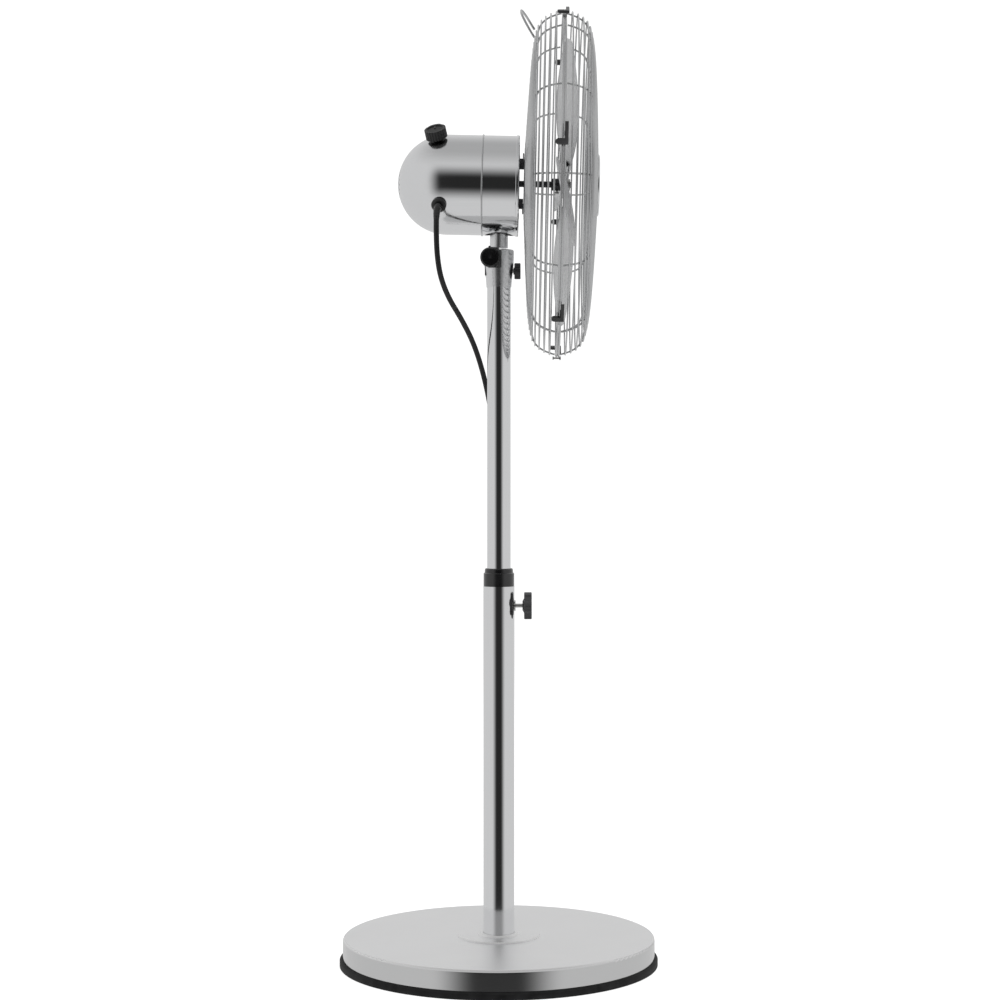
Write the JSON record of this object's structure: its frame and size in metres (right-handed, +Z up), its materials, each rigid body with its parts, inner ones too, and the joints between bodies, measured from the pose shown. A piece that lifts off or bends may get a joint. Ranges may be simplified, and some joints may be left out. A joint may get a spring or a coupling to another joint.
{
  "type": "pedestal fan",
  "caption": "Chrome pedestal fan with a round weighted base, telescopic pole, tilting and oscillating bullet motor head, wire guard and polished metal blades.",
  "frame": {"origin": "on the floor, on the pole's axis", "axes": "+Z up, +X the way the fan blows, +Y to the fan's left"},
  "size_m": [0.4079, 0.5326, 1.2243],
  "materials": {
    "chrome_sheet": "polished chrome plate on pressed steel",
    "chrome_tube": "polished chrome plate on steel tube",
    "chrome_cast": "chrome plate on die casting",
    "chrome_wire": "chrome plated wire",
    "polished_blade": "polished sheet",
    "black_plastic": "moulded, satin",
    "black_gloss": "moulded, semi-gloss",
    "black_cord": "flexible sheath",
    "zinc_steel": "zinc plated",
    "dark_steel": "dark steel",
    "cast_plate": "as cast, primed",
    "cast_alloy": "die cast",
    "copper_wire": "enamelled winding",
    "grey_plastic": "moulded",
    "brass_pin": "nickel plated"
  },
  "bodies": {
    "stand": {"base_cover": "chrome_sheet", "base_weight": "cast_plate", "base_trim_ring": "black_plastic", "post_flange": "chrome_sheet", "foot_plug": "zinc_steel", "post_bolt": "zinc_steel", "lower_tube": "chrome_tube", "height_collar": "black_plastic", "height_nut": "zinc_steel", "cord_lower": "black_cord", "plug_body": "black_plastic", "plug_pins": "brass_pin"},
    "height_lock": {"height_screw": "zinc_steel", "height_knob": "black_gloss"},
    "upper_post": {"upper_tube": "chrome_tube", "tube_bottom_bush": "grey_plastic", "head_socket": "chrome_cast", "tilt_bolt": "zinc_steel", "tilt_washer": "zinc_steel"},
    "tilt_lock": {"tilt_knob": "black_gloss"},
    "socket_lock": {"socket_screw": "zinc_steel", "socket_knob": "black_gloss"},
    "neck": {"tilt_arm": "chrome_cast", "cord_middle": "black_cord"},
    "head": {"rear_cover": "chrome_sheet", "front_housing": "chrome_sheet", "front_plate": "chrome_sheet", "plate_screws": "zinc_steel", "speed_switch": "grey_plastic", "cord_grommet": "black_plastic", "stator_core": "dark_steel", "stator_windings": "copper_wire", "front_bracket": "cast_alloy", "rear_bracket": "cast_alloy", "motor_bearings": "dark_steel", "capacitor": "grey_plastic", "gearbox_case": "cast_alloy", "swivel_block": "cast_alloy", "rear_guard": "chrome_wire", "front_guard": "chrome_wire", "guard_badge": "chrome_sheet", "guard_mounts": "zinc_steel", "carry_loop": "chrome_wire", "guard_lock_screw": "zinc_steel", "cord_upper": "black_cord"},
    "rotor": {"rotor_core": "dark_steel", "motor_shaft": "dark_steel", "fan_blades": "polished_blade", "blade_hub": "dark_steel", "hub_screw": "zinc_steel", "blade_nut": "zinc_steel"},
    "drive_wheel": {"worm_wheel": "grey_plastic"},
    "speed_dial": {"speed_knob": "black_gloss"},
    "swing_button": {"oscillation_knob": "black_gloss"},
    "clip_1": {"guard_clip_1": "black_plastic"},
    "clip_2": {"guard_clip_2": "black_plastic"},
    "clip_3": {"guard_clip_3": "black_plastic"},
    "clip_4": {"guard_clip_4": "black_plastic"},
    "clip_5": {"guard_clip_5": "black_plastic"},
    "clip_6": {"guard_clip_6": "black_plastic"}
  },
  "joints": [
    {"name": "height_slide", "type": "slide", "parent": "stand", "child": "upper_post", "axis": [0, 0, 1], "range_m": [-0.23, 0], "deforming": ["cord_lower"]},
    {"name": "height_lock_turn", "type": "hinge", "parent": "stand", "child": "height_lock", "pos_m": [0.03, 0, 0.459], "axis": [1, 0, 0], "range_deg": [0, 360]},
    {"name": "socket_lock_turn", "type": "hinge", "parent": "upper_post", "child": "socket_lock", "pos_m": [0.02, 0, 0.889], "axis": [1, 0, 0], "range_deg": [0, 360]},
    {"name": "tilt", "type": "hinge", "parent": "upper_post", "child": "neck", "pos_m": [-0.0108, 0, 0.905], "axis": [0, 1, 0], "range_deg": [-25, 4.5], "deforming": ["cord_middle"]},
    {"name": "tilt_lock_turn", "type": "hinge", "parent": "upper_post", "child": "tilt_lock", "pos_m": [-0.0108, -0.02, 0.905], "axis": [0, -1, 0], "range_deg": [0, 270]},
    {"name": "oscillation", "type": "hinge", "parent": "neck", "child": "head", "pos_m": [0.0003, 0, 0.942], "axis": [0.0201, 0, 0.9998], "range_deg": [-40, 40], "deforming": ["cord_upper"]},
    {"name": "blade_spin", "type": "hinge", "parent": "head", "child": "rotor", "pos_m": [0.0015, 0, 1.00158], "axis": [0.9998, 0, -0.0201], "continuous": true},
    {"name": "drive_wheel_turn", "type": "hinge", "parent": "head", "child": "drive_wheel", "pos_m": [-0.04949, 0.0142, 1.00261], "axis": [0.0201, 0, 0.9998], "continuous": true},
    {"name": "speed_dial_turn", "type": "hinge", "parent": "head", "child": "speed_dial", "pos_m": [-0.07796, -0.03129, 1.05439], "axis": [-0.1923, -0.4889, 0.8509], "range_deg": [0, 135]},
    {"name": "swing_button_slide", "type": "slide", "parent": "head", "child": "swing_button", "axis": [-0.2132, 0, 0.977], "range_m": [-0.0045, 0]},
    {"name": "clip_1_swing", "type": "hinge", "parent": "head", "child": "clip_1", "pos_m": [0.08162, -0.21779, 1.03448], "axis": [0.0198, 0.1564, 0.9875], "range_deg": [0, 100]},
    {"name": "clip_2_swing", "type": "hinge", "parent": "head", "child": "clip_2", "pos_m": [0.08506, -0.07902, 1.2058], "axis": [0.0072, 0.9336, 0.3583], "range_deg": [0, 100]},
    {"name": "clip_3_swing", "type": "hinge", "parent": "head", "child": "clip_3", "pos_m": [0.08437, 0.13876, 1.17132], "axis": [-0.0126, 0.7771, -0.6292], "range_deg": [0, 100]},
    {"name": "clip_4_swing", "type": "hinge", "parent": "head", "child": "clip_4", "pos_m": [0.08024, 0.21779, 0.9655], "axis": [-0.0198, -0.1564, -0.9875], "range_deg": [0, 100]},
    {"name": "clip_5_swing", "type": "hinge", "parent": "head", "child": "clip_5", "pos_m": [0.0768, 0.07902, 0.79418], "axis": [-0.0072, -0.9336, -0.3583], "range_deg": [0, 100]},
    {"name": "clip_6_swing", "type": "hinge", "parent": "head", "child": "clip_6", "pos_m": [0.07749, -0.13876, 0.82866], "axis": [0.0126, -0.7771, 0.6292], "range_deg": [0, 100]}
  ],
  "couplings": [
    {"joint": "drive_wheel_turn", "follows": "blade_spin", "ratio": 0.05}
  ]
}
